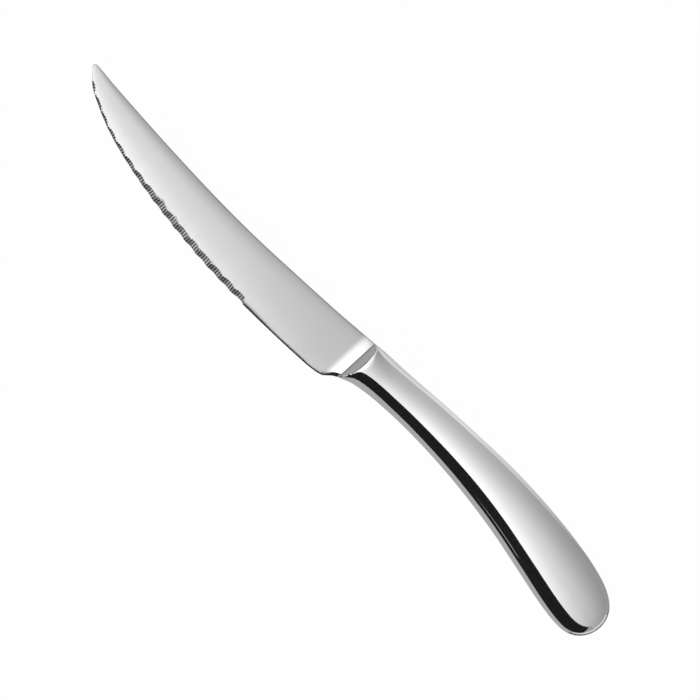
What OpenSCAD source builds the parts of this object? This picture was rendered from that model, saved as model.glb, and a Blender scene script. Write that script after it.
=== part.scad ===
// Steak knife with a hollow metal handle, lying on its right side.
// +X runs from the tip to the pommel, +Y towards the spine and +Z out of the serrated left face.
// The origin is under the middle of the knife, on the surface that it lies on.
// Shapes are drawn with the tip at x = 0 and the middle plane at z = 0. settle() moves them to the origin.

/* [Blade] */
// Length from the tip to the shoulder, where the handle starts
blade_len = 125.4; // [100:0.1:150]
// Width that the blade's outline follows
blade_w = 19.2; // [16:0.1:24]
// Thickness of the spine at the root
blade_t = 2.2; // [1.8:0.05:2.8]
// Thickness of the plain edge near the heel
edge_t = 1.3; // [1.1:0.05:1.6]
// Thickness at the tip
tip_t = 1; // [0.9:0.05:1.4]
// Thickness of the swollen root at the shoulder
root_t = 4.6; // [4:0.1:5.6]
// Radius of the hollow between each face and the root
root_hollow_r = 6.5; // [5:0.1:9]

/* [Serrations] */
// Number of scallops ground into the left face
scallop_count = 16; // [8:1:18]
// Distance between scallops along the edge
scallop_pitch = 5.46; // [4:0.02:6]
// Distance along the edge from the tip to the first scallop
first_scallop = 7.3; // [5:0.1:9]
// Radius of the grinding wheel that leaves a scallop
scallop_r = 20; // [16:0.5:28]
// Slope of the ground face against the blade's middle plane
grind_angle = 24; // [20:1:32]

/* [Tang] */
// Length of the tang inside the handle
tang_len = 50; // [30:0.5:60]
// Width of the tang at the shoulder
tang_root_w = 7; // [5:0.1:8]
// Width of the tang at its end
tang_end_w = 5; // [4:0.1:6]
// Thickness of the tang
tang_t = 2.4; // [1.6:0.1:2.8]
// Radius of the notches that key the tang into the filler
notch_r = 1; // [0.5:0.1:1.4]

/* [Handle] */
// Length from the shoulder to the end of the pommel
handle_len = 114.6; // [95:0.1:130]
// Greatest width of the grip
handle_w = 21.1; // [19:0.1:24]
// Greatest thickness of the grip, just behind its nose
handle_t = 14; // [12.5:0.1:16]
// Rise of the grip's middle line above the tip
handle_bow = 3.15; // [2:0.05:4]
// Length over which the pommel rounds off
pommel_len = 21; // [15:0.5:30]
// Length of the bevel on the nose
nose_bevel_len = 2.7; // [2.2:0.1:4]
// Thickness of the nose where it meets the blade's shoulder
nose_t = 8.8; // [7.5:0.1:10]
// Wall of the pressed half shells
shell_wall = 0.9; // [0.6:0.05:1.2]
// Film of brazing metal between the half shells
braze_t = 0.12; // [0.1:0.01:0.3]
// Depth of the polished seam below the shells' surface
seam_depth = 0.1; // [0.05:0.01:0.2]
// Bond line between the filler and what it touches
bond_gap = 0.1; // [0.05:0.01:0.2]
// Clearance of the tang in the mouth of the handle
mouth_gap = 0.1; // [0.05:0.01:0.2]

/* [Hidden] */

$fn = 64;

// How far cutting shapes reach past what they cut
overrun = 3;

// Spine: shares of the blade's length, with the height above the tip line in shares of the blade's width
spine_shares = [[0, -0.01], [0.008, 0.023], [0.08, 0.006], [0.28, -0.0115], [0.46, 0.002],
    [0.6, 0.044], [0.75, 0.129], [0.88, 0.2125]];
// Edge: square roots of shares of the blade's length, with heights as above, from the tip to the heel
edge_shares = [[0, -0.01], [0.114, -0.115], [0.2, -0.275], [0.283, -0.4], [0.387, -0.565],
    [0.5, -0.712], [0.616, -0.824], [0.728, -0.881], [0.8126, -0.876], [0.894, -0.826], [0.9592, -0.757]];
heel_shares = [[0.9772, -0.716], [0.9851, -0.678], [0.9892, -0.63], [0.9935, -0.572]];
// Grip: shares of the handle's length, with its middle line in shares of its bow
grip_middle_shares = [[0, -0.627], [0.041, -0.19], [0.1, 0.143], [0.16, 0.39], [0.24, 0.676], [0.36, 0.92],
    [0.48, 1], [0.6, 0.857], [0.72, 0.46], [0.82, 0], [0.9, -0.397], [0.955, -0.63], [1, -0.63]];
// Grip: shares of the handle's length, with its width in shares of the greatest width
grip_width_shares = [[0, 0.751], [0.041, 0.684], [0.1, 0.6455], [0.16, 0.643], [0.24, 0.665],
    [0.36, 0.72], [0.48, 0.8], [0.6, 0.8815], [0.72, 0.962], [0.82, 1], [0.9, 0.99], [1, 1]];
// Grip: shares of the handle's length, with its thickness in shares of the greatest thickness
grip_thickness_shares = [[0, 0.995], [0.03, 1], [0.05, 0.975], [0.07, 0.93], [0.1, 0.875], [0.14, 0.83],
    [0.19, 0.79], [0.24, 0.77], [0.3, 0.77], [0.45, 0.815], [0.57, 0.85], [0.7, 0.87], [0.78, 0.86],
    [0.86, 0.825], [1, 0.79]];
// Notches along the tang, in shares of its length
notch_place_shares = [0.45, 0.72];
// Powers that square off the pommel, seen from the face and from the side
pommel_face_power = 3.75;
pommel_side_power = 2.8;
// The first scallops are shallower, because the wheel runs in
run_in_scallops = 8;
first_scallop_depth_share = -1.4;

// Steps that the curves are drawn with
spine_steps = 40;
edge_steps = 44;
heel_steps = 14;
grip_steps = 22;
pommel_steps = 10;
side_columns = 3;
face_columns = 17;

// Smooth curve through a table of pairs

function span(at, table, i = 0) =
    i >= len(table) - 2 || at < table[i + 1].x ? i : span(at, table, i + 1);

function table_slope(table, i) =
    let (before = table[max(i - 1, 0)], after = table[min(i + 1, len(table) - 1)])
    (after.y - before.y) / (after.x - before.x);

function smooth(at, table) =
    let (i = span(at, table),
        width = table[i + 1].x - table[i].x,
        u = (at - table[i].x) / width)
    table[i].y * (1 + 2 * u) * (1 - u) ^ 2
    + table[i + 1].y * u ^ 2 * (3 - 2 * u)
    + width * table_slope(table, i) * u * (1 - u) ^ 2
    + width * table_slope(table, i + 1) * u ^ 2 * (u - 1);

// Grip: its middle line, half width and half thickness at x, drawn in by an inset

knife_len = blade_len + handle_len;
pommel_start = knife_len - pommel_len;

function grip_share(x) = (x - blade_len) / handle_len;
function grip_middle(x) = handle_bow * smooth(grip_share(x), grip_middle_shares);
function pommel_round(x, inset, power) =
    x <= pommel_start ? 1
    : sqrt(max(0, 1 - ((x - pommel_start) / (pommel_len - inset)) ^ power));
function grip_half_w(x, inset) =
    (handle_w / 2 * smooth(grip_share(x), grip_width_shares) - inset)
    * pommel_round(x, inset, pommel_face_power);
function grip_half_t(x, inset) =
    (handle_t / 2 * smooth(grip_share(x), grip_thickness_shares) - inset)
    * pommel_round(x, inset, pommel_side_power);

nose_middle = grip_middle(blade_len);
nose_high = nose_middle + grip_half_w(blade_len, 0);
nose_low = nose_middle - grip_half_w(blade_len, 0);

// Nose: a bevel that rises from its front wall to the face of the grip

nose_rise = grip_half_t(blade_len + nose_bevel_len, 0) - nose_t / 2;
bevel_angle = atan(nose_rise / nose_bevel_len);

function bevel_z(x, inset) = nose_t / 2 + (x - blade_len) * tan(bevel_angle) - inset / cos(bevel_angle);
function nose_corner(inset) =
    asin(bevel_z(blade_len + inset, inset) / grip_half_t(blade_len + inset, inset));

// Where the line of the grip at one angle leaves the bevel, found by stepping towards it
function nose_x(angle, inset, x, tries = 6) =
    tries == 0 ? x
    : nose_x(angle, inset, max(blade_len + inset, blade_len
        + (grip_half_t(x, inset) * sin(angle) - nose_t / 2 + inset / cos(bevel_angle)) / tan(bevel_angle)),
        tries - 1);

// Grid over half of the grip: columns run from the spine over the face to the belly, rows to the pommel

columns = face_columns + 2 * side_columns;
rows = 1 + grip_steps + pommel_steps;

function column_angle(j, corner) =
    j <= side_columns ? corner * j / side_columns
    : j >= columns - side_columns ? 180 - corner * (columns - j) / side_columns
    : corner + (180 - 2 * corner) * (j - side_columns) / face_columns;

function row_x(i, start, inset) =
    i <= 1 ? start
    : i <= 1 + grip_steps ? start + (pommel_start - start) * (i - 1) / grip_steps
    : pommel_start + (pommel_len - inset) * sin(90 * (i - 1 - grip_steps) / pommel_steps);

function grip_point(i, j, inset, rim) =
    let (angle = column_angle(j, nose_corner(inset)),
        front = blade_len + inset,
        x = row_x(i, i == 0 ? front : nose_x(angle, inset, front), inset),
        z = rim + (grip_half_t(x, inset) - rim) * sin(angle))
    [x, grip_middle(x) + grip_half_w(x, inset) * cos(angle), i == 0 ? min(z, bevel_z(front, inset)) : z];

// The corner columns have no bevel, and every column ends at the pommel's one point
function grip_index(i, j) =
    i == rows ? rows * (columns + 1)
    : i == 0 && (j <= side_columns || j >= columns - side_columns) ? columns + 1 + j
    : i * (columns + 1) + j;

function whole(faces) = [for (f = faces) if (f[0] != f[1] && f[1] != f[2] && f[2] != f[0]) f];
function split(a, b, c, d) = whole([[a, b, c], [a, c, d]]);
function join(lists) = [for (l = lists) each l];

// Mouth of the handle, which the tang passes through
mouth_w = tang_root_w + 2 * mouth_gap;
mouth_t = tang_t + 2 * mouth_gap;

function mouth_point(x, j, rim) =
    let (corner = j <= side_columns || j >= columns - side_columns,
        side = j <= columns / 2 ? 1 : -1,
        step = min(j, columns - j))
    [x,
        nose_middle + (corner ? side * mouth_w / 2
            : mouth_w / 2 * (1 - 2 * (j - side_columns) / face_columns)),
        corner ? rim + (mouth_t / 2 - rim) * step / side_columns : mouth_t / 2];

// Half shell: outer grid, inner grid and the two rims of the mouth, closed by the flat rim at the seam
module half_shell() {
    rim = braze_t / 2;
    inner = (rows + 1) * (columns + 1);
    mouth_in = 2 * inner;
    mouth_out = mouth_in + columns + 1;
    points = concat(
        [for (i = [0:rows], j = [0:columns]) grip_point(i, j, 0, rim)],
        [for (i = [0:rows], j = [0:columns]) grip_point(i, j, shell_wall, rim)],
        [for (j = [0:columns]) mouth_point(blade_len + shell_wall, j, rim)],
        [for (j = [0:columns]) mouth_point(blade_len, j, rim)]);
    outside = join([for (i = [0:rows - 1], j = [0:columns - 1]) split(
        grip_index(i, j), grip_index(i, j + 1), grip_index(i + 1, j + 1), grip_index(i + 1, j))]);
    inside = join([for (i = [0:rows - 1], j = [0:columns - 1]) split(
        inner + grip_index(i, j), inner + grip_index(i + 1, j),
        inner + grip_index(i + 1, j + 1), inner + grip_index(i, j + 1))]);
    mouth = join([for (j = [0:columns - 1]) concat(
        split(grip_index(0, j), mouth_out + j, mouth_out + j + 1, grip_index(0, j + 1)),
        split(mouth_out + j, mouth_in + j, mouth_in + j + 1, mouth_out + j + 1),
        split(mouth_in + j, inner + grip_index(0, j), inner + grip_index(0, j + 1), mouth_in + j + 1))]);
    seam = join([for (i = [1:rows - 1]) concat(
        split(grip_index(i, 0), grip_index(i + 1, 0),
            inner + grip_index(i + 1, 0), inner + grip_index(i, 0)),
        split(grip_index(i, columns), inner + grip_index(i, columns),
            inner + grip_index(i + 1, columns), grip_index(i + 1, columns)))]);
    seam_ends = concat(
        split(grip_index(0, 0), inner + grip_index(0, 0), mouth_in, mouth_out),
        split(grip_index(0, columns), mouth_out + columns,
            mouth_in + columns, inner + grip_index(0, columns)));
    polyhedron(points, concat(outside, inside, mouth, seam, seam_ends));
}

// Film between the shells: the outline of their rims, open at the mouth
module seam_film() {
    front = blade_len + seam_depth;
    back = blade_len + shell_wall;
    outline = concat(
        [for (i = [1:rows]) grip_point(i, 0, seam_depth, 0)],
        [for (i = [rows - 1:-1:1]) grip_point(i, columns, seam_depth, 0)],
        [for (x = [front, back]) [x, nose_middle - mouth_w / 2]],
        [for (i = [1:rows - 1]) grip_point(i, columns, shell_wall, 0)],
        [for (i = [rows:-1:1]) grip_point(i, 0, shell_wall, 0)],
        [for (x = [back, front]) [x, nose_middle + mouth_w / 2]]);
    linear_extrude(braze_t, center = true)
        polygon([for (p = outline) [p.x, p.y]]);
}

// Core: the grid over both halves, drawn in clear of the shells, with a flat front
module core() {
    inset = shell_wall + bond_gap;
    ring = 2 * columns;
    points = concat(
        [for (i = [0:rows - 1], j = [0:ring - 1])
            let (p = grip_point(i, j <= columns ? j : ring - j, inset, 0))
            [p.x, p.y, j <= columns ? p.z : -p.z]],
        [grip_point(rows, 0, inset, 0)]);
    bevelled = function(j) let (k = j <= columns ? j : ring - j)
        k > side_columns && k < columns - side_columns;
    index = function(i, j)
        i == rows ? rows * ring
        : i == 0 && !bevelled(j % ring) ? ring + j % ring
        : i * ring + j % ring;
    skin = join([for (i = [0:rows - 1], j = [0:ring - 1]) split(
        index(i, j), index(i, j + 1), index(i + 1, j + 1), index(i + 1, j))]);
    front = [[for (j = [ring - 1:-1:0]) index(0, j)]];
    polyhedron(points, concat(skin, front));
}

// Blade outline

function spine_y(x) = blade_w * smooth(x / blade_len, concat(spine_shares, [[1, nose_high / blade_w]]));
edge_table = concat(edge_shares, heel_shares, [[1, nose_low / blade_w]]);
function edge_point(root_share) = [blade_len * root_share ^ 2, blade_w * smooth(root_share, edge_table)];

heel_start_share = edge_shares[len(edge_shares) - 1].x;
edge_path = concat(
    [for (i = [0:edge_steps - 1]) edge_point(heel_start_share * i / edge_steps)],
    [for (i = [0:heel_steps]) edge_point(heel_start_share + (1 - heel_start_share) * i / heel_steps)]);
spine_path = [for (i = [1:spine_steps])
    let (x = blade_len * (i / spine_steps) ^ 2)
    [x, spine_y(x)]];
blade_outline = concat(edge_path, [for (i = [spine_steps - 1:-1:0]) spine_path[i]]);

// Place and direction at a distance along the edge from the tip
function along_edge(distance, i = 0) =
    let (step = edge_path[i + 1] - edge_path[i])
    distance <= norm(step) || i == len(edge_path) - 2
        ? [edge_path[i] + step * distance / norm(step), atan2(step.y, step.x)]
        : along_edge(distance - norm(step), i + 1);

// Faces of the blade: planes that thin towards the edge and the tip, hollowed up to the root

cross_slope = (blade_t - edge_t) / 2 / blade_w;
hollow_rise = (root_t - blade_t) / 2 + cross_slope * (nose_high - nose_low);
hollow_run = sqrt(2 * root_hollow_r * hollow_rise - hollow_rise ^ 2);
face_end = blade_len - hollow_run;
length_slope = ((blade_t - tip_t) / 2 - cross_slope * (nose_high - spine_y(0))) / face_end;

function face_z(p) = blade_t / 2 + cross_slope * (p.y - nose_high) + length_slope * (p.x - face_end);

module face_cut() {
    reach = blade_len + overrun;
    translate([face_end, nose_high, blade_t / 2])
        rotate([atan(cross_slope), -atan(length_slope), 0])
            rotate([90, 0, 0])
                linear_extrude(2 * (blade_w + handle_w), center = true) {
                    translate([-reach, 0])
                        square([reach, root_t]);
                    translate([0, root_hollow_r])
                        circle(root_hollow_r);
                }
}

// Scallops: wheels laid along the ground face, square to the edge

scallop_lift = scallop_r - sqrt(scallop_r ^ 2 - scallop_pitch ^ 2 / 4);
scallop_depth = scallop_lift / sin(grind_angle);
scallop_reach = edge_t / sin(grind_angle) + overrun;

module scallop(i) {
    spot = along_edge(first_scallop + scallop_pitch * i);
    depth_share = min(1, first_scallop_depth_share + (1 - first_scallop_depth_share) * i / run_in_scallops);
    translate([spot[0].x, spot[0].y, -face_z(spot[0])])
        rotate([0, 0, spot[1]])
            translate([0, scallop_depth * depth_share, 0])
                rotate([grind_angle, 0, 0])
                    translate([0, 0, scallop_r])
                        rotate([90, 0, 0])
                            cylinder(h = 2 * scallop_reach, r = scallop_r, center = true);
}

// Tang, drawn larger by grow where the filler makes room for it

tang_straight = 2 * shell_wall;
tang_end = blade_len + tang_len;

function tang_share(x) = max(0, (x - blade_len - tang_straight) / (tang_len - tang_straight));
function tang_middle(x) = nose_middle + (grip_middle(tang_end) - nose_middle) * tang_share(x);
function tang_half_w(x) = (tang_root_w + (tang_end_w - tang_root_w) * tang_share(x)) / 2;

module tang(grow) {
    start = blade_len - shell_wall;
    bend = blade_len + tang_straight;
    end = tang_end + grow;
    difference() {
        linear_extrude(tang_t + 2 * grow, center = true)
            polygon(concat(
                [for (x = [start, bend, end]) [x, tang_middle(x) + tang_half_w(x) + grow]],
                [for (x = [end, bend, start]) [x, tang_middle(x) - tang_half_w(x) - grow]]));
        for (share = notch_place_shares, side = [-1, 1])
            let (x = blade_len + tang_len * share)
            translate([x, tang_middle(x) + side * (tang_half_w(x) + grow), 0])
                cylinder(h = tang_t + 2 * overrun, r = notch_r, center = true);
    }
}

// The knife in its own frame

grip_profile = [for (i = [1:rows]) row_x(i, blade_len, 0)];
highest = max([for (x = grip_profile) grip_middle(x) + grip_half_w(x, 0)]);
lowest = min([for (p = edge_path) p.y]);
deepest = max([for (i = [1:rows - 1]) grip_point(i, floor(columns / 2), 0, braze_t / 2).z]);

module settle() {
    translate([-knife_len / 2, -(highest + lowest) / 2, deepest])
        children();
}

module blade() {
    color("gainsboro") settle() {
        difference() {
            linear_extrude(root_t, center = true)
                polygon(blade_outline);
            face_cut();
            mirror([0, 0, 1]) face_cut();
            for (i = [0:scallop_count - 1]) scallop(i);
        }
        tang(0);
    }
}

module handle_shell_left() {
    color("silver") settle() half_shell();
}

module handle_shell_right() {
    color("silver") settle() mirror([0, 0, 1]) half_shell();
}

module seam_braze() {
    color("darkgray") settle() seam_film();
}

module handle_filler() {
    color("tan") settle() difference() {
        core();
        tang(bond_gap);
    }
}

blade();
handle_shell_left();
handle_shell_right();
seam_braze();
handle_filler();
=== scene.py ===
import math

import bmesh
import bpy
from mathutils import Matrix, Vector


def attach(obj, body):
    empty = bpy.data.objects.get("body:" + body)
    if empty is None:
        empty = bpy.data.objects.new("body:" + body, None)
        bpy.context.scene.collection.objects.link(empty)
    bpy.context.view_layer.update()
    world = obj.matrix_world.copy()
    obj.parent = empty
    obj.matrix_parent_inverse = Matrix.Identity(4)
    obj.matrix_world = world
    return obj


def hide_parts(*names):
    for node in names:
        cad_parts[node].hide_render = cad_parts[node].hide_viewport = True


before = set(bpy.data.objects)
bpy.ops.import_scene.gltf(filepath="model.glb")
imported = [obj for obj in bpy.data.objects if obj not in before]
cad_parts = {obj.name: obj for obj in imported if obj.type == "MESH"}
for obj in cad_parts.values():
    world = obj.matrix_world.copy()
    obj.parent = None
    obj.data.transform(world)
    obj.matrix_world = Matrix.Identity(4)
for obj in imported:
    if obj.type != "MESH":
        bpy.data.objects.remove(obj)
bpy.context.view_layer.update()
print("frame loaded:", ", ".join(sorted(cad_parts)))

mm = 0.001
ground = {"tipX": -120.0, "lineY": 2.4978, "midZ": 6.9988}  # tip line and middle plane in the frame, mm
# distances that count as none, mm
touch = {"cut": 0.0005, "bladeWeld": 0.001, "shellWeld": 0.002, "ring": 0.01, "row": 0.02}


def spot(x, y, z):
    return Vector((x + ground["tipX"], y + ground["lineY"], z + ground["midZ"])) * mm


def placeOf(co):
    # the way back from spot: x from the tip and y from the tip line, mm
    return co.x / mm - ground["tipX"], co.y / mm - ground["lineY"]


def smooth(at, table):
    # curve through a short table of (place, value), with the slope of its neighbours
    last = len(table) - 1
    i = 0
    while i < last - 1 and at >= table[i + 1][0]:
        i += 1

    def slope(k):
        a, b = table[max(k - 1, 0)], table[min(k + 1, last)]
        return (b[1] - a[1]) / (b[0] - a[0])

    width = table[i + 1][0] - table[i][0]
    u = (at - table[i][0]) / width
    return (table[i][1] * (1 + 2 * u) * (1 - u) ** 2 + table[i + 1][1] * u * u * (3 - 2 * u)
            + width * slope(i) * u * (1 - u) ** 2 + width * slope(i + 1) * u * u * (u - 1))


# mesh helpers

def selectVerts(piece, test):
    mesh = bmesh.from_edit_mesh(piece.data)
    for vert in mesh.verts:
        vert.select_set(test(vert))
    mesh.select_flush_mode()
    bmesh.update_edit_mesh(piece.data)


def selectFaces(piece, test):
    mesh = bmesh.from_edit_mesh(piece.data)
    for face in mesh.faces:
        face.select_set(False)
    for face in mesh.faces:
        if test(face):
            face.select_set(True)
    bmesh.update_edit_mesh(piece.data)


def activate(piece):
    bpy.ops.object.select_all(action="DESELECT")
    piece.select_set(True)
    bpy.context.view_layer.objects.active = piece


def applyModifier(piece, kind, **settings):
    activate(piece)
    step = piece.modifiers.new(kind.lower(), kind)
    for key, value in settings.items():
        setattr(step, key, value)
    bpy.ops.object.modifier_apply(modifier=step.name)


def drawSection(name, count, x, middle, half, thick):
    # a ring in the YZ plane, stretched to an oval
    bpy.ops.object.select_all(action="DESELECT")
    bpy.ops.mesh.primitive_circle_add(vertices=count, radius=half * mm, location=spot(x, middle, 0),
                                      rotation=(math.pi / 2, 0, math.pi / 2))
    piece = bpy.context.object
    piece.name = name
    piece.data.name = name
    bpy.ops.object.transform_apply(location=True, rotation=True, scale=True)
    bpy.ops.object.mode_set(mode="EDIT")
    bpy.ops.mesh.select_mode(type="VERT")
    bpy.ops.mesh.select_all(action="SELECT")
    bpy.ops.transform.resize(value=(1, 1, thick / half), center_override=spot(x, middle, 0))
    return piece


def drawAlong(stations):
    # extrudes the selected ring from station to station: x, middle, half width, half thickness
    for before, after in zip(stations, stations[1:]):
        move = [(after[0] - before[0]) * mm, (after[1] - before[1]) * mm, 0]
        bpy.ops.mesh.extrude_edges_move(TRANSFORM_OT_translate={"value": move})
        bpy.ops.transform.resize(value=(1, after[2] / before[2], after[3] / before[3]),
                                 center_override=spot(after[0], after[1], 0))


# handle

handle = {
    "start": 125.4, "length": 114.599, "width": 21.1, "thickness": 14.0, "bow": 3.15,
    # by the share of the length: middle line in bows, width and thickness as shares of the largest
    "middle": [(0, -0.627), (0.041, -0.19), (0.1, 0.143), (0.16, 0.39), (0.24, 0.676), (0.36, 0.92),
               (0.48, 1), (0.6, 0.857), (0.72, 0.46), (0.82, 0), (0.9, -0.397), (0.955, -0.63), (1, -0.63)],
    "widths": [(0, 0.751), (0.041, 0.684), (0.1, 0.6455), (0.16, 0.643), (0.24, 0.665), (0.36, 0.72),
               (0.48, 0.8), (0.6, 0.8815), (0.72, 0.962), (0.82, 1), (0.9, 0.99), (1, 1)],
    "thicknesses": [(0, 0.995), (0.03, 1), (0.05, 0.975), (0.07, 0.93), (0.1, 0.875), (0.14, 0.83),
                    (0.19, 0.79), (0.24, 0.77), (0.3, 0.77), (0.45, 0.815), (0.57, 0.85), (0.7, 0.87),
                    (0.78, 0.86), (0.86, 0.825), (1, 0.79)],
    "pommel": 21.0, "facePower": 3.75, "sidePower": 2.8,
    "ringVerts": 128, "noseRings": 27, "noseStep": 0.2, "gripRings": 44, "pommelRings": 16,
    # the nose is pressed squarer than an oval, the rear of the grip a little; belly to spine
    "noseSection": [(-1, 0), (-0.985, 0.4), (-0.96, 0.56), (-0.9, 0.66), (-0.8, 0.75), (-0.7, 0.815),
                    (-0.6, 0.87), (-0.4, 0.942), (-0.2, 0.98), (0, 0.997), (0.1, 1), (0.3, 0.992),
                    (0.5, 0.96), (0.7, 0.9), (0.8, 0.85), (0.9, 0.76), (0.95, 0.66), (0.98, 0.48), (1, 0)],
    "noseShare": [(0, 1), (0.018, 0.9), (0.027, 0.7), (0.036, 0.45), (0.054, 0.17), (0.072, 0.05),
                  (0.1, 0), (1, 0)],
    "rearPower": 2.2, "rearShare": [(0, 0), (0.45, 0), (0.6, 0.6), (0.72, 1), (1, 1)],
    "pressed": 0.9999,  # share of the half width; points beyond it stay on the seam
    "noseWall": 7.75, "bevelSlope": 0.93,
    "bevelBlend": [(-1, 0.25), (-0.45, 0.25), (-0.2, 0.7), (0, 0.88), (0.35, 0.88), (0.6, 0.45), (1, 0.3)],
    "wall": 0.9, "mouth": (0.46, 0.56),  # share of the front wall's width and height
    "frontNormal": -0.99, "smoothAngle": 14.0,
}


def handleStation(x):
    share = (x - handle["start"]) / handle["length"]
    t = max(0, x - (handle["start"] + handle["length"] - handle["pommel"])) / handle["pommel"]
    middle = handle["bow"] * smooth(share, handle["middle"])
    half = (handle["width"] / 2 * smooth(share, handle["widths"])
            * math.sqrt(max(0, 1 - t ** handle["facePower"])))
    thick = (handle["thickness"] / 2 * smooth(share, handle["thicknesses"])
             * math.sqrt(max(0, 1 - t ** handle["sidePower"])))
    return x, middle, half, thick


def pressHandle(body):
    mesh = bmesh.from_edit_mesh(body.data)
    power = handle["rearPower"]
    for vert in mesh.verts:
        x, y = placeOf(vert.co)
        _, middle, half, thick = handleStation(x)
        if half == 0 or abs(y - middle) > handle["pressed"] * half:
            continue
        place, share = (x - handle["start"]) / handle["length"], (y - middle) / half
        away = vert.co.z - spot(0, 0, 0).z
        oval = abs(away) / mm / thick
        nose, rear = smooth(share, handle["noseSection"]), (1 - abs(share) ** power) ** (1 / power)
        level = (oval + smooth(place, handle["noseShare"]) * (nose - oval)
                 + smooth(place, handle["rearShare"]) * (rear - oval))
        # the bevelled front runs into the face without a crease
        high, front = level * thick, handle["noseWall"] / 2 + handle["bevelSlope"] * (x - handle["start"])
        blend = smooth(share, handle["bevelBlend"])
        high = min(high, front) - max(blend - abs(high - front), 0) ** 2 / blend / 4
        vert.co.z = spot(0, 0, math.copysign(max(high, 0), away)).z
    bmesh.update_edit_mesh(body.data)


def makeHandleBody():
    start, end = handle["start"], handle["start"] + handle["length"]
    turn = end - handle["pommel"]
    places = [start + handle["noseStep"] * i for i in range(handle["noseRings"])]
    step = (turn - places[-1]) / handle["gripRings"]
    places += [places[-1] + step * i for i in range(1, handle["gripRings"] + 1)]
    places += [turn + handle["pommel"] * math.sin(math.pi / 2 * i / handle["pommelRings"])
               for i in range(1, handle["pommelRings"])]
    stations = [handleStation(x) for x in places]
    body = drawSection("handleBody", handle["ringVerts"], *stations[0])
    bpy.ops.mesh.edge_face_add()  # front wall
    front = spot(start, 0, 0).x
    selectVerts(body, lambda vert: vert.co.x < front + touch["ring"] * mm)
    bpy.ops.mesh.select_mode(type="EDGE")
    bpy.ops.mesh.region_to_loop()
    drawAlong(stations)
    tip = handleStation(end)
    bpy.ops.mesh.extrude_edges_move(TRANSFORM_OT_translate={
        "value": ((end - places[-1]) * mm, (tip[1] - stations[-1][1]) * mm, 0)})
    bpy.ops.transform.resize(value=(1, 0, 0), center_override=spot(end, tip[1], 0))
    bpy.ops.mesh.select_mode(type="VERT")
    bpy.ops.mesh.select_all(action="SELECT")
    bpy.ops.mesh.remove_doubles(threshold=touch["shellWeld"] * mm)
    bpy.ops.mesh.normals_make_consistent(inside=False)

    pressHandle(body)

    # mouth in the front wall for the tang
    selectFaces(body, lambda face: face.normal.x < handle["frontNormal"])
    bpy.ops.mesh.extrude_region_move(TRANSFORM_OT_translate={"value": (0, 0, 0)})
    bpy.ops.transform.resize(value=(1, *handle["mouth"]),
                             center_override=spot(start, handleStation(start)[1], 0))
    bpy.ops.mesh.delete(type="FACE")
    bpy.ops.object.mode_set(mode="OBJECT")
    return body


def makeShell(body, name, side):
    activate(body)
    bpy.ops.object.duplicate()
    shell = bpy.context.object
    shell.name = name
    shell.data.name = name
    bpy.ops.object.mode_set(mode="EDIT")
    bpy.ops.mesh.select_all(action="SELECT")
    bpy.ops.mesh.bisect(plane_co=spot(0, 0, 0), plane_no=(0, 0, -side), clear_outer=True,
                        threshold=touch["cut"] * mm)
    bpy.ops.mesh.select_all(action="SELECT")
    bpy.ops.mesh.remove_doubles(threshold=touch["shellWeld"] * mm)
    bpy.ops.mesh.normals_make_consistent(inside=False)
    bpy.ops.object.mode_set(mode="OBJECT")
    applyModifier(shell, "SOLIDIFY", thickness=handle["wall"] * mm, offset=-1)
    activate(shell)
    bpy.ops.object.shade_smooth_by_angle(angle=math.radians(handle["smoothAngle"]))
    return shell


# blade

blade = {
    "length": 125.4, "width": 19.2,
    # outline in widths, the spine by the share of the length and the edge by the root of that share
    "spine": [(0, -0.01), (0.008, 0.023), (0.08, 0.006), (0.28, -0.0115), (0.46, 0.002),
              (0.6, 0.044), (0.75, 0.129), (0.88, 0.2125), (1, 0.3098)],
    "edge": [(0, -0.01), (0.114, -0.115), (0.2, -0.275), (0.283, -0.4), (0.387, -0.565), (0.5, -0.712),
             (0.616, -0.824), (0.728, -0.881), (0.8126, -0.876), (0.894, -0.826), (0.9592, -0.757),
             (0.9772, -0.716), (0.9851, -0.678), (0.9892, -0.63), (0.9935, -0.572), (1, -0.5155)],
    # half of the largest thickness, tip to root
    "thickness": [(0, 0.1), (0.02, 0.24), (0.05, 0.38), (0.1, 0.5), (0.2, 0.6), (0.5, 0.74), (0.8, 0.95),
                  (1, 1.1)],
    "hollowStart": 121.16, "hollowRadius": 8.0, "rootThickness": 4.6,
    # share of the thickness, edge to spine
    "section": [(-1, 0), (-0.9877, 0.36), (-0.9511, 0.42), (-0.891, 0.48), (-0.7, 0.62), (-0.4, 0.8),
                (0, 0.94), (0.35, 1), (0.65, 0.97), (0.85, 0.86), (0.9511, 0.7), (0.9877, 0.48), (1, 0)],
    "ringVerts": 40, "smoothAngle": 18.0,
    # rings from the tip to the shoulder, close together where the shape turns
    "stations": [0.06, 0.25, 0.6, 1.1, 1.8, 2.7, 3.8, 5.2, 7, 9, 11.5, 14, 17, 20, *range(23, 112, 3),
                 112, 114, 116, 117.5, 118.8, 119.8, 120.6, 121.16,
                 121.7, 122.2, 122.7, 123.2, 123.7, 124.2, 124.6, 125, 125.4],
    "plainEdge": 85.0, "heel": 121.3, "bevelNormal": -0.4, "leastX": 0.01,
    # rows drawn in for the bevel: share of the half width, factor, and where they start
    "bevelRows": [(-0.9877, 0.25, "plainEdge"), (-0.9511, 0.76, "plainEdge"), (-0.9511, 0.64, "heel"),
                  (-0.891, 0.75, "heel")],
}
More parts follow.
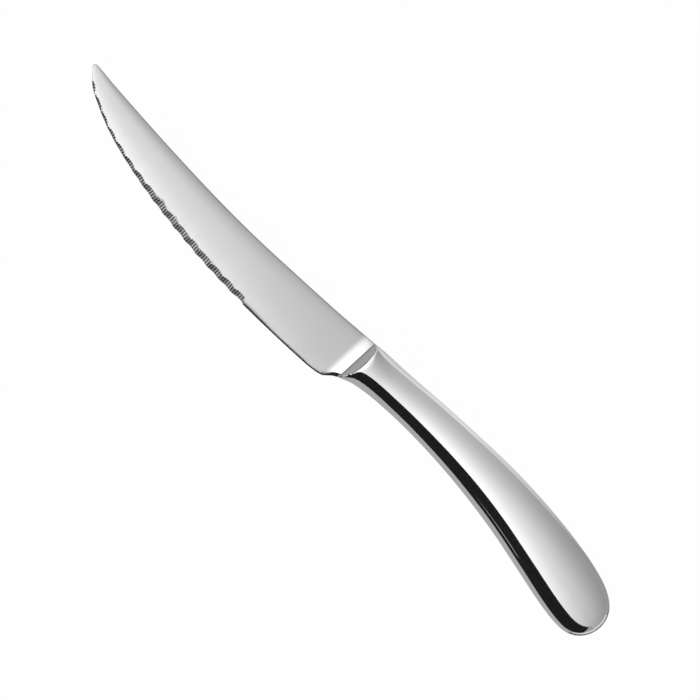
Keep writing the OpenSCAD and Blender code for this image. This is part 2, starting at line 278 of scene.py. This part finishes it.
serration = {
    "count": 16, "pitch": 5.46, "first": 7.3, "wheel": 20.0, "ribs": 6, "ribDepth": 0.05, "reach": 5.0,
    # how far above the edge each scallop ends on the left face and on the right face, from the tip on
    "tops": [(0, 0.8), (3, 1.12), (5, 1.5), (8, 2.2), (11, 2.3), (15, 2.25)],
    "bottoms": [(0, -0.1), (3, -0.1), (5, 0.15), (8, 0.5), (11, 0.5), (15, 0.4)],
    # where the cut starts under the middle plane and how far it climbs, in half thicknesses
    "base": 0.36, "climb": 0.91,
    "lastRib": 88.5, "endReach": 2.5, "endTilt": 25.0,
    # walks along the edge that place the scallops and mark the ribs: steps, end and reach, mm
    "walkStep": 0.05, "markStep": 0.1, "markEnd": 100, "markNear": 3,
}
tang = {
    "length": 50.0, "width": 7.0, "endWidth": 5.0, "thickness": 2.4, "overlap": 1.0,
    "notch": 1.0, "notchPlaces": (0.45, 0.72),
}


def spineAt(x):
    return blade["width"] * smooth(x / blade["length"], blade["spine"])


def edgeAt(x):
    return blade["width"] * smooth(math.sqrt(x / blade["length"]), blade["edge"])


def bladeStation(x):
    thick = smooth(x / blade["length"], blade["thickness"])
    run = max(0, x - blade["hollowStart"])
    radius = blade["hollowRadius"]
    thick = min(blade["rootThickness"] / 2, thick + radius - math.sqrt(radius ** 2 - run ** 2))
    return x, (spineAt(x) + edgeAt(x)) / 2, (spineAt(x) - edgeAt(x)) / 2, thick


def bladePlace(co):
    x, y = placeOf(co)
    return min(max(x, blade["leastX"]), blade["length"]), y


def alongEdge(distance):
    x, step = 0.0, serration["walkStep"]
    while True:
        dy = edgeAt(x + step) - edgeAt(x)
        length = math.hypot(step, dy)
        if distance <= length:
            return x + step * distance / length, edgeAt(x) + dy * distance / length, math.atan2(dy, step)
        distance -= length
        x += step


def makeBlade(finishes):
    stations = [bladeStation(x) for x in reversed(blade["stations"])]
    piece = drawSection("bladeBody", blade["ringVerts"], *stations[0])
    for finish in finishes:
        piece.data.materials.append(finish)
    # the oval is pressed to the blade's section, one pair of points at a time
    x, middle, half, _ = stations[0]
    count = blade["ringVerts"]
    for i in range(1, count // 2):
        share = math.cos(2 * math.pi * i / count)
        place = middle + half * share
        selectVerts(piece, lambda vert: abs(vert.co.y - spot(0, place, 0).y) < touch["ring"] * mm)
        flat = smooth(share, blade["section"]) / math.sqrt(1 - share ** 2)
        bpy.ops.transform.resize(value=(1, 1, flat), center_override=spot(x, middle, 0))
    bpy.ops.mesh.select_all(action="SELECT")
    bpy.ops.mesh.edge_face_add()
    bpy.ops.mesh.select_mode(type="EDGE")
    bpy.ops.mesh.region_to_loop()
    drawAlong(stations)
    bpy.ops.mesh.edge_face_add()

    # behind the scallops both faces are ground down to a narrow bevel along the edge
    bpy.ops.mesh.select_mode(type="VERT")
    for share, factor, begin in blade["bevelRows"]:
        def onBevel(vert):
            x, _ = bladePlace(vert.co)
            _, middle, half, _ = bladeStation(x)
            row = spot(0, middle + share * half, 0).y
            return x > blade[begin] and abs(vert.co.y - row) < touch["row"] * mm

        selectVerts(piece, onBevel)
        bpy.ops.transform.resize(value=(1, 1, factor), center_override=spot(0, 0, 0))
    bpy.ops.mesh.select_all(action="SELECT")
    bpy.ops.mesh.normals_make_consistent(inside=False)
    selectFaces(piece, lambda face: face.normal.y < blade["bevelNormal"]
                and placeOf(face.calc_center_median())[0] > blade["plainEdge"])
    piece.active_material_index = 1
    bpy.ops.object.material_slot_assign()
    bpy.ops.object.mode_set(mode="OBJECT")
    return piece


def addTang(piece):
    # tapered bar in the handle, keyed by two pairs of notches
    start, length = blade["length"], tang["length"]
    near, far = handleStation(start)[1], handleStation(start + length)[1]
    bpy.ops.object.select_all(action="DESELECT")
    bpy.ops.mesh.primitive_cube_add(size=1, location=spot(start + length / 2 - tang["overlap"] / 2, near, 0))
    bar = bpy.context.object
    bar.scale = ((length + tang["overlap"]) * mm, tang["width"] * mm, tang["thickness"] * mm)
    bpy.ops.object.transform_apply(location=True, rotation=True, scale=True)
    bpy.ops.object.mode_set(mode="EDIT")
    bpy.ops.mesh.select_mode(type="VERT")
    selectVerts(bar, lambda vert: vert.co.x > spot(start + length / 2, 0, 0).x)
    bpy.ops.transform.resize(value=(1, tang["endWidth"] / tang["width"], 1),
                             center_override=spot(start + length, near, 0))
    bpy.ops.transform.translate(value=(0, (far - near) * mm, 0))
    bpy.ops.object.mode_set(mode="OBJECT")
    for share in tang["notchPlaces"]:
        for side in (-1, 1):
            middle = near + (far - near) * share
            half = (tang["width"] + (tang["endWidth"] - tang["width"]) * share) / 2
            bpy.ops.object.select_all(action="DESELECT")
            bpy.ops.mesh.primitive_cylinder_add(
                vertices=32, radius=tang["notch"] * mm, depth=2 * tang["thickness"] * mm,
                location=spot(start + length * share, middle + side * half, 0))
            cutter = bpy.context.object
            applyModifier(bar, "BOOLEAN", operation="DIFFERENCE", solver="EXACT", object=cutter)
            bpy.data.objects.remove(cutter)
    applyModifier(piece, "BOOLEAN", operation="UNION", solver="EXACT", object=bar)
    bpy.data.objects.remove(bar)


def makeWheel():
    # ribbed grinding wheel: every second line of its rim is drawn in
    count = 2 * round(2 * math.pi * serration["wheel"] * serration["ribs"] / serration["pitch"])
    bpy.ops.object.select_all(action="DESELECT")
    bpy.ops.mesh.primitive_cylinder_add(vertices=count, radius=serration["wheel"] * mm,
                                        depth=2 * serration["reach"] * mm)
    wheel = bpy.context.object
    wheel.name = "ribbedWheel"
    bpy.ops.object.mode_set(mode="EDIT")
    bpy.ops.mesh.select_mode(type="VERT")

    def low(vert):
        return round(math.atan2(vert.co.y, vert.co.x) / (2 * math.pi) * count) % 2 == 1

    selectVerts(wheel, low)
    drawn = 1 - serration["ribDepth"] / serration["wheel"]
    bpy.ops.transform.resize(value=(drawn, drawn, 1), center_override=(0, 0, 0))
    bpy.ops.object.mode_set(mode="OBJECT")
    return wheel


def trimWheel(cutter, heading):
    # the last scallop ends short against the plain edge
    activate(cutter)
    middle = cutter.matrix_world @ Vector((0, -serration["wheel"] * mm, 0))
    out = Vector((math.cos(heading), math.sin(heading), 0))
    tilt = Matrix.Rotation(math.radians(serration["endTilt"]), 3, "Z")
    bpy.ops.object.transform_apply(location=True, rotation=True, scale=True)
    bpy.ops.object.mode_set(mode="EDIT")
    bpy.ops.mesh.select_all(action="SELECT")
    bpy.ops.mesh.bisect(plane_co=middle + out * serration["endReach"] * mm, plane_no=tilt @ out,
                        use_fill=True, clear_outer=True)
    bpy.ops.object.mode_set(mode="OBJECT")


def grindScallops(piece, wheel):
    for i in range(serration["count"]):
        x, y, heading = alongEdge(serration["first"] + serration["pitch"] * i)
        thick = bladeStation(x)[3]
        top, bottom = smooth(i, serration["tops"]), smooth(i, serration["bottoms"])
        slant = math.atan2(serration["climb"] * thick, top - bottom)
        activate(wheel)
        bpy.ops.object.duplicate()
        cutter = bpy.context.object
        cutter.matrix_world = (
            Matrix.Translation(spot(x, y, -serration["base"] * thick)) @ Matrix.Rotation(heading, 4, "Z")
            @ Matrix.Translation((0, bottom * mm, 0)) @ Matrix.Rotation(slant, 4, "X")
            @ Matrix.Translation((0, 0, serration["wheel"] * mm)) @ Matrix.Rotation(math.pi / 2, 4, "X"))
        if i == serration["count"] - 1:
            trimWheel(cutter, heading)
        applyModifier(piece, "BOOLEAN", operation="DIFFERENCE", solver="EXACT", object=cutter,
                      material_mode="TRANSFER")
        bpy.data.objects.remove(cutter)
    bpy.data.objects.remove(wheel)
    # the cuts leave a few doubled points where scallops meet, and a few that only divide an edge
    activate(piece)
    bpy.ops.object.mode_set(mode="EDIT")
    bpy.ops.mesh.select_mode(type="VERT")
    bpy.ops.mesh.select_all(action="SELECT")
    bpy.ops.mesh.remove_doubles(threshold=touch["bladeWeld"] * mm)
    selectVerts(piece, lambda vert: len(vert.link_edges) == 2)
    bpy.ops.mesh.dissolve_verts()
    bpy.ops.object.mode_set(mode="OBJECT")


def markGrind(piece):
    # where each point lies from edge to spine, from tip to shoulder, and from rib to rib of the wheel
    step, reach = serration["markStep"], serration["markNear"]
    run, path = 0.0, [(0.0, edgeAt(0), 0.0)]
    while path[-1][0] < serration["markEnd"]:
        x, y, _ = path[-1]
        run += math.hypot(step, edgeAt(x + step) - y)
        path.append((x + step, edgeAt(x + step), run))
    marks = [piece.data.attributes.new(name, "FLOAT", "POINT") for name in ("across", "along", "ribs")]
    for i, vert in enumerate(piece.data.vertices):
        x, y = bladePlace(vert.co)
        marks[0].data[i].value = (y - edgeAt(x)) / (spineAt(x) - edgeAt(x))
        marks[1].data[i].value = x / blade["length"]
        near = path[max(0, int((x - reach) / step)):int((x + reach) / step)]
        if near:
            _, run = min((math.hypot(x - a, y - b), c) for a, b, c in near)
            marks[2].data[i].value = (run - serration["first"]) / serration["pitch"]


# shaders

class Wire:
    def __init__(self, bench, socket):
        self.bench, self.socket = bench, socket

    def __add__(self, other):
        return self.bench.math("ADD", self, other)

    def __sub__(self, other):
        return self.bench.math("SUBTRACT", self, other)

    def __rsub__(self, other):
        return self.bench.math("SUBTRACT", other, self)

    def __mul__(self, other):
        return self.bench.math("MULTIPLY", self, other)

    __radd__ = __add__
    __rmul__ = __mul__


class Bench:
    def __init__(self, owner):
        owner.use_nodes = True
        self.tree = owner.node_tree
        self.tree.nodes.clear()

    def add(self, kind, settings=None, sockets=None):
        node = self.tree.nodes.new(kind)
        for key, value in (settings or {}).items():
            if key == "stops":
                while len(node.color_ramp.elements) < len(value):
                    node.color_ramp.elements.new(0.5)
                for element, (place, colour) in zip(node.color_ramp.elements, value):
                    element.position = place
                    element.color = colour if len(colour) == 4 else (*colour, 1)
            else:
                setattr(node, key, value)
        for key, value in (sockets or {}).items():
            if isinstance(value, Wire):
                self.tree.links.new(value.socket, node.inputs[key])
            else:
                node.inputs[key].default_value = value
        return node

    def wire(self, node, name=0):
        return Wire(self, node.outputs[name])

    def math(self, operation, a, b=0.0):
        return self.wire(self.add("ShaderNodeMath", {"operation": operation}, {0: a, 1: b}))

    def coords(self, kind="Object"):
        return self.wire(self.add("ShaderNodeTexCoord"), kind)

    def axis(self, name, kind="Object"):
        return self.wire(self.add("ShaderNodeSeparateXYZ", {}, {"Vector": self.coords(kind)}), name)

    def mark(self, name):
        return self.wire(self.add("ShaderNodeAttribute", {"attribute_name": name}), "Fac")

    def noise(self, vector, scale, detail, roughness=0.5):
        return self.wire(self.add("ShaderNodeTexNoise", {}, {
            "Vector": vector, "Scale": scale, "Detail": detail, "Roughness": roughness}), "Fac")

    def ramp(self, table, value):
        return self.wire(self.add("ShaderNodeValToRGB", {
            "stops": [(place, grey(level)) for place, level in table]}, {"Fac": value}))

    def scaled(self, colour, tone):
        return self.wire(self.add("ShaderNodeVectorMath", {"operation": "SCALE"}, {0: colour, "Scale": tone}))

    def finish(self, shader, kind="ShaderNodeOutputMaterial"):
        self.add(kind, {}, {"Surface": self.wire(shader)})


def grey(level):
    return (level, level, level, 1)


bladeFinish = {
    "tint": (1.005, 0.995, 1.0),
    # grinding lines from the spine to the edge, in lines for each m along X, Y and Z
    "lines": (900.0, 18.0, 40.0), "lineLean": 0.12, "lineDepth": 0.024,
    "clouds": 90.0, "cloudDepth": 0.015,
    "roughness": 0.34, "lineRough": 0.1, "cloudRough": 0.05, "bump": 0.05, "bumpDepth": 0.00003,
    # painted shade: tone from the edge to the spine, darker towards the spine, at the tip and at the heel
    "frontShadeTone": [(0.0, 1.0), (0.12, 1.0), (0.17, 0.95), (0.23, 0.86), (0.31, 0.775), (0.4, 0.7), (0.5, 0.65),
                  (0.6, 0.615), (0.72, 0.575), (0.82, 0.49), (0.9, 0.415), (1.0, 0.36)],
    "heelShadeTone": [(0.0, 0.64), (0.04, 0.55), (0.08, 0.505), (0.3, 0.48), (0.6, 0.472), (0.9, 0.472),
                 (1.0, 0.455)],
    # share of the heel's painted shade from the tip to the shoulder, and where the lighter painted tone of
    # the root hollow starts and is full
    "heelShare": [(0.0, 0.0), (0.25, 0.02), (0.5, 0.3), (0.63, 0.5), (0.76, 0.8), (0.9, 1.0), (1.0, 1.0)],
    "hollow": (0.962, 0.984), "hollowLightTone": 0.78, "hollowShine": 0.2,
}


def bladeSteel():
    material = bpy.data.materials.new("satinBladeSteel")
    bench = Bench(material)
    across, along = bench.mark("across"), bench.mark("along")
    stretched = bench.add("ShaderNodeMapping", {"vector_type": "POINT"}, {
        "Vector": bench.coords(), "Rotation": (0, 0, bladeFinish["lineLean"]), "Scale": bladeFinish["lines"]})
    lines = bench.noise(bench.wire(stretched), 1.0, detail=3.0, roughness=0.6) - 0.5
    clouds = bench.noise(bench.coords(), bladeFinish["clouds"], detail=4.0) - 0.5
    front, heel = bench.ramp(bladeFinish["frontShadeTone"], across), bench.ramp(bladeFinish["heelShadeTone"], across)
    share = bench.ramp(bladeFinish["heelShare"], along)
    start, full = bladeFinish["hollow"]
    hollow = bench.wire(bench.add("ShaderNodeMapRange", {"interpolation_type": "SMOOTHSTEP"}, {
        "Value": along, "From Min": start, "From Max": full}))
    # painted shade across the blade, from a light edge to a dark spine, with painted light in the root hollow
    tone = front + (heel - front) * share
    tone = tone + (bladeFinish["hollowLightTone"] - tone) * hollow
    tone = tone + lines * bladeFinish["lineDepth"] + clouds * bladeFinish["cloudDepth"]
    rough = (bladeFinish["roughness"] + lines * bladeFinish["lineRough"] + clouds * bladeFinish["cloudRough"]
             - hollow * bladeFinish["hollowShine"])
    bump = bench.add("ShaderNodeBump", {}, {
        "Strength": bladeFinish["bump"], "Distance": bladeFinish["bumpDepth"], "Height": lines})
    bench.finish(bench.add("ShaderNodeBsdfPrincipled", {}, {
        "Base Color": bench.scaled(bladeFinish["tint"], tone), "Metallic": 1.0, "Roughness": rough,
        "Normal": bench.wire(bump)}))
    return material


scallopFinish = {
    # the side tones paint shade on one side of each scallop and light on the other
    "grain": 2500.0, "tone": 0.5, "ridgeTone": 0.32, "sideShadeTone": 0.35, "sideTurn": 0.5,
    "roughness": 0.12, "grainRough": 0.1, "ridgeRough": 0.6,
    "ridgeFull": 0.25, "ridgeLeast": 0.3,  # the ridges fade from here to the tip, down to this share
}


def groundSteel():
    material = bpy.data.materials.new("groundScallops")
    bench = Bench(material)
    grain = bench.noise(bench.coords(), scallopFinish["grain"], detail=2.0)
    place, along = bench.mark("ribs"), bench.mark("along")
    ribbed = bench.math("LESS_THAN", along, serration["lastRib"] / blade["length"])
    # the ridges that the wheel's ribs leave are scuffed, the grooves between them bright
    ridge = bench.math("COSINE", place * (2 * math.pi * serration["ribs"])) * 0.5 + 0.5
    fade = bench.add("ShaderNodeMapRange", {"interpolation_type": "SMOOTHSTEP"}, {
        "Value": along, "From Min": 0.0, "From Max": scallopFinish["ridgeFull"],
        "To Min": scallopFinish["ridgeLeast"]})
    ridge = ridge * ribbed * bench.wire(fade)
    # painted shade and light: the side of each scallop towards the tip is darker, the other side lighter
    side = bench.math("SINE", place * (2 * math.pi) + scallopFinish["sideTurn"]) * ribbed
    tone = scallopFinish["tone"] + ridge * scallopFinish["ridgeTone"]
    tone = tone * (1 + side * scallopFinish["sideShadeTone"])
    rough = (scallopFinish["roughness"] + grain * scallopFinish["grainRough"]
             + ridge * scallopFinish["ridgeRough"])
    bench.finish(bench.add("ShaderNodeBsdfPrincipled", {}, {
        "Base Color": bench.scaled((1, 1, 1), tone), "Metallic": 1.0, "Roughness": rough}))
    return material


polishFinish = {
    "colour": (0.754, 0.747, 0.75), "cleanTone": 0.985, "smudgeTone": 0.03, "smudges": 70.0,
    "roughness": 0.035, "smudgeRough": 0.03, "hairs": (60, 2600, 2600), "hairRough": 0.02,
    # painted shade at the nose's corner: its depth and its width in mm
    "crease": 0.42, "creaseWidth": 0.9,
}


def polishedSteel():
    material = bpy.data.materials.new("polishedHandleSteel")
    bench = Bench(material)
    smudge = bench.noise(bench.coords(), polishFinish["smudges"], detail=5.0, roughness=0.65)
    stretched = bench.add("ShaderNodeMapping", {"vector_type": "POINT"}, {
        "Vector": bench.coords(), "Scale": polishFinish["hairs"]})
    hairs = bench.noise(bench.wire(stretched), 1.0, detail=2.0) - 0.5
    # painted shade: the steel is darkened in a band at the corner where the nose meets the blade
    nose = spot(handle["start"], 0, 0).x
    crease = bench.wire(bench.add("ShaderNodeMapRange", {}, {
        "Value": bench.axis("X"), "From Min": nose, "From Max": nose + polishFinish["creaseWidth"] * mm,
        "To Min": polishFinish["crease"], "To Max": 0.0}))
    tone = (polishFinish["cleanTone"] + smudge * polishFinish["smudgeTone"]) * (1 - crease)
    rough = (polishFinish["roughness"] + smudge * polishFinish["smudgeRough"]
             + hairs * polishFinish["hairRough"])
    bench.finish(bench.add("ShaderNodeBsdfPrincipled", {}, {
        "Base Color": bench.scaled(polishFinish["colour"], tone), "Metallic": 1.0, "Roughness": rough}))
    return material


brazeFinish = {
    "dark": (0.52, 0.50, 0.46, 1), "light": (0.64, 0.62, 0.58, 1), "grain": 900.0,
    "roughness": 0.18, "grainRough": 0.2,
}


def brazeMetal():
    material = bpy.data.materials.new("brazeMetal")
    bench = Bench(material)
    grain = bench.noise(bench.coords(), brazeFinish["grain"], detail=3.0)
    colour = bench.add("ShaderNodeMix", {"data_type": "RGBA"}, {
        "Factor": grain, "A": brazeFinish["dark"], "B": brazeFinish["light"]})
    bench.finish(bench.add("ShaderNodeBsdfPrincipled", {}, {
        "Base Color": bench.wire(colour, 2), "Metallic": 1.0,
        "Roughness": brazeFinish["roughness"] + grain * brazeFinish["grainRough"]}))
    return material


fillerFinish = {
    "stops": [(0.0, (0.30, 0.25, 0.19)), (1.0, (0.55, 0.48, 0.38))],
    "sand": 1600.0, "sandShare": 0.6, "stains": 120.0, "stainShare": 0.5,
    "bump": 0.4, "bumpDepth": 0.0002, "roughness": 0.8, "stainRough": 0.15,
}


def castFiller():
    material = bpy.data.materials.new("sandFiller")
    bench = Bench(material)
    sand = bench.wire(bench.add("ShaderNodeTexVoronoi", {}, {
        "Vector": bench.coords(), "Scale": fillerFinish["sand"]}), "Distance")
    stain = bench.noise(bench.coords(), fillerFinish["stains"], detail=4.0)
    colour = bench.add("ShaderNodeValToRGB", {"stops": fillerFinish["stops"]}, {
        "Fac": stain * fillerFinish["stainShare"] + sand * fillerFinish["sandShare"]})
    bump = bench.add("ShaderNodeBump", {}, {
        "Strength": fillerFinish["bump"], "Distance": fillerFinish["bumpDepth"], "Height": sand})
    bench.finish(bench.add("ShaderNodeBsdfPrincipled", {}, {
        "Base Color": bench.wire(colour), "Normal": bench.wire(bump),
        "Roughness": fillerFinish["roughness"] + stain * fillerFinish["stainRough"]}))
    return material


# build the pieces

satin, scallopSteel, polish = bladeSteel(), groundSteel(), polishedSteel()

body = makeHandleBody()
shellLeft = makeShell(body, "handleShellLeft", 1)
shellRight = makeShell(body, "handleShellRight", -1)
bpy.data.objects.remove(body)
for shell, node in ((shellLeft, "handle_shell_left"), (shellRight, "handle_shell_right")):
    shell.data.materials.append(polish)
    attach(shell, "root")
    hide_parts(node)
    print("made", shell.name, len(shell.data.polygons), "faces")

knifeBlade = makeBlade((satin, scallopSteel))
addTang(knifeBlade)
wheel = makeWheel()
wheel.data.materials.append(scallopSteel)
grindScallops(knifeBlade, wheel)
activate(knifeBlade)
bpy.ops.object.shade_smooth_by_angle(angle=math.radians(blade["smoothAngle"]))
markGrind(knifeBlade)
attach(knifeBlade, "root")
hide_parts("blade")
print("made", knifeBlade.name, len(knifeBlade.data.polygons), "faces")

for node, material in (("seam_braze", brazeMetal()), ("handle_filler", castFiller())):
    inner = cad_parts[node]
    inner.data.materials.clear()
    inner.data.materials.append(material)
print("inner pieces dressed")


# studio

studio = {
    "floorSize": 8.0, "floorGlow": 0.985, "mirrorGlow": 0.1, "floorTone": 0.45,
    "cameraHeight": 0.52, "roll": 47.66, "aim": (0.00171, 0.00129), "frameWidth": 0.22176,
    "sensor": 36, "clipStart": 0.01,
    # level of the dome by direction, from -X to +X times from -Y to +Y
    "domeX": [(0.0, 1.36), (0.35, 1.33), (0.45, 1.25), (0.5, 1.16), (0.525, 1.09), (0.575, 0.95),
              (0.625, 0.84), (0.675, 0.78), (0.775, 0.7), (0.9, 0.6), (1.0, 0.48)],
    "domeY": [(0.0, 1.36), (0.25, 1.3), (0.35, 1.21), (0.4, 1.16), (0.45, 1.07), (0.5, 1.0), (0.6, 0.86),
              (0.7, 0.74), (0.8, 0.64), (0.9, 0.56), (1.0, 0.5)],
    # cards that only metal shows: corners in m and level
    "cards": [
        ("edgeFlag", [(-0.2, -0.03, 0), (-0.026, -0.03, 0), (-0.2, -0.03, 0.14),
                      (-0.026, -0.03, 0.05)], 0.014),
        ("bellyCard", [(-0.3, -1.5, 0), (3.0, -1.5, 0), (-0.3, -1.5, 2.38), (7.5, -1.5, 3.3)], 0.014),
        ("endCard", [(3.0, -1.5, 0), (12, -1.5, 0), (7.5, -1.5, 3.3), (12, -1.5, 5)], 0.42),
        ("noseCard", [(-1.2, 1.2, 0), (-1.2, -1.2, 0), (-1.2, 1.2, 0.21), (-1.2, -1.2, 0.21)], 0.45),
        ("noseBand", [(-1.2, 1.2, 0.21), (-1.2, -1.2, 0.21), (-1.2, 1.2, 0.53), (-1.2, -1.2, 0.53)], 0.3),
        ("noseShade", [(-1.2, 1.2, 0.53), (-1.2, 0.12, 0.53), (-1.2, 1.2, 0.78), (-1.2, 0.12, 0.78)], 0.7),
        ("slit", [(0.055, -1.49, 0.5), (0.1015, -1.49, 0.5), (0.055, -1.49, 0.62),
                  (0.1015, -1.49, 0.62)], 0.4),
        ("endShade", [(0.1205, -0.02, 0.0004), (0.137, -0.034, 0.0004), (0.1205, 0.01, 0.0004),
                      (0.137, 0.0135, 0.0004)], 0.12),
        ("endSheet", [(0.137, -0.034, 0.0004), (3.0, -2.9, 0.0004), (0.137, 0.0135, 0.0004),
                      (3.0, 1.06, 0.0004)], 0.82),
        # dimSheet lies on the floor: painted shade of the floor beside the pommel
        ("dimSheet", [(0.088, 0.004, 0.0002), (0.2, 0.004, 0.0002), (0.088, 0.4, 0.0002),
                      (0.2, 0.4, 0.0002)], 0.38),
    ],
    # sheets on the floor beside the spine that only metal shows, painted light and shade of the floor that
    # dims towards the pommel: from and to in Y, and the level along X
    "sheets": [
        ("nearSheet", 0.012, 0.03, [(0.004, 0.69), (0.015, 0.72), (0.023, 0.775), (0.032, 0.85),
                                    (0.045, 0.84), (0.057, 0.79), (0.07, 0.72), (0.086, 0.6), (0.102, 0.4)]),
        ("spineSheet", 0.03, 0.095, [(0.004, 0.86), (0.023, 0.92), (0.035, 0.97), (0.045, 0.97),
                                     (0.057, 0.83), (0.07, 0.775), (0.086, 0.635), (0.102, 0.4)]),
        ("farSheet", 0.095, 0.4, [(0.004, 0.7), (0.045, 0.69), (0.057, 0.64), (0.07, 0.6), (0.086, 0.5),
                                  (0.102, 0.38)]),
    ],
    "sheetHeight": 0.0003,
}


def makeFloor():
    bpy.ops.object.select_all(action="DESELECT")
    bpy.ops.mesh.primitive_grid_add(x_subdivisions=4, y_subdivisions=4, size=studio["floorSize"],
                                    location=(0, 0, 0))
    floor = bpy.context.object
    floor.name = "whiteFloor"
    material = bpy.data.materials.new("whitePaper")
    bench = Bench(material)
    paper = bench.add("ShaderNodeBsdfDiffuse", {}, {"Color": grey(studio["floorTone"])})
    glow = bench.add("ShaderNodeEmission", {}, {"Color": grey(1.0), "Strength": 1.0})
    path = bench.add("ShaderNodeLightPath")
    mirrored = bench.math("MAXIMUM", bench.wire(path, "Is Glossy Ray"),
                          bench.wire(path, "Is Transmission Ray"))
    part = bench.wire(path, "Is Camera Ray") * studio["floorGlow"] + mirrored * studio["mirrorGlow"]
    bench.finish(bench.add("ShaderNodeMixShader", {}, {0: part, 1: bench.wire(paper), 2: bench.wire(glow)}))
    floor.data.materials.append(material)


def alongX(bench, levels):
    start, end = levels[0][0], levels[-1][0]
    table = [((x - start) / (end - start), level) for x, level in levels]
    return bench.ramp(table, (bench.axis("X") - start) * (1 / (end - start)))


def makeCard(name, corners, level):
    bpy.ops.object.select_all(action="DESELECT")
    bpy.ops.mesh.primitive_plane_add(size=1, location=(0, 0, 0))
    card = bpy.context.object
    card.name = name
    for vert, corner in zip(card.data.vertices, corners):
        vert.co = corner
    material = bpy.data.materials.new(name)
    bench = Bench(material)
    colour = grey(level) if isinstance(level, float) else alongX(bench, level)
    bench.finish(bench.add("ShaderNodeEmission", {}, {"Color": colour, "Strength": 1.0}))
    card.data.materials.append(material)
    card.visible_camera = False
    card.visible_diffuse = False
    card.visible_shadow = False


def makeSheet(name, near, far, levels):
    start, end, high = levels[0][0], levels[-1][0], studio["sheetHeight"]
    makeCard(name, [(start, near, high), (end, near, high), (start, far, high), (end, far, high)], levels)


def makeDome():
    world = bpy.data.worlds.new("softDome")
    bpy.context.scene.world = world
    bench = Bench(world)

    def levels(table, axis):
        # each ramp holds half of its level, so the two together are a quarter
        halves = [(place, level / 2) for place, level in table]
        return bench.ramp(halves, bench.axis(axis, "Generated") * 0.5 + 0.5)

    level = bench.add("ShaderNodeVectorMath", {"operation": "MULTIPLY"}, {
        0: levels(studio["domeX"], "X"), 1: levels(studio["domeY"], "Y")})
    light = bench.add("ShaderNodeBackground", {}, {"Color": bench.wire(level), "Strength": 4.0})
    bench.finish(light, "ShaderNodeOutputWorld")


def makeCamera():
    lens = bpy.data.cameras.new("overhead")
    camera = bpy.data.objects.new("overhead", lens)
    bpy.context.scene.collection.objects.link(camera)
    x, y = studio["aim"]
    camera.location = (x, y, ground["midZ"] * mm + studio["cameraHeight"])
    camera.rotation_euler = (0, 0, math.radians(studio["roll"]))
    lens.sensor_width = studio["sensor"]
    lens.lens = studio["sensor"] * studio["cameraHeight"] / studio["frameWidth"]
    lens.clip_start = studio["clipStart"]
    bpy.context.scene.camera = camera


makeFloor()
for card in studio["cards"]:
    makeCard(*card)
for sheet in studio["sheets"]:
    makeSheet(*sheet)
makeDome()
makeCamera()
bpy.context.scene.view_settings.view_transform = "Standard"
print("studio ready")
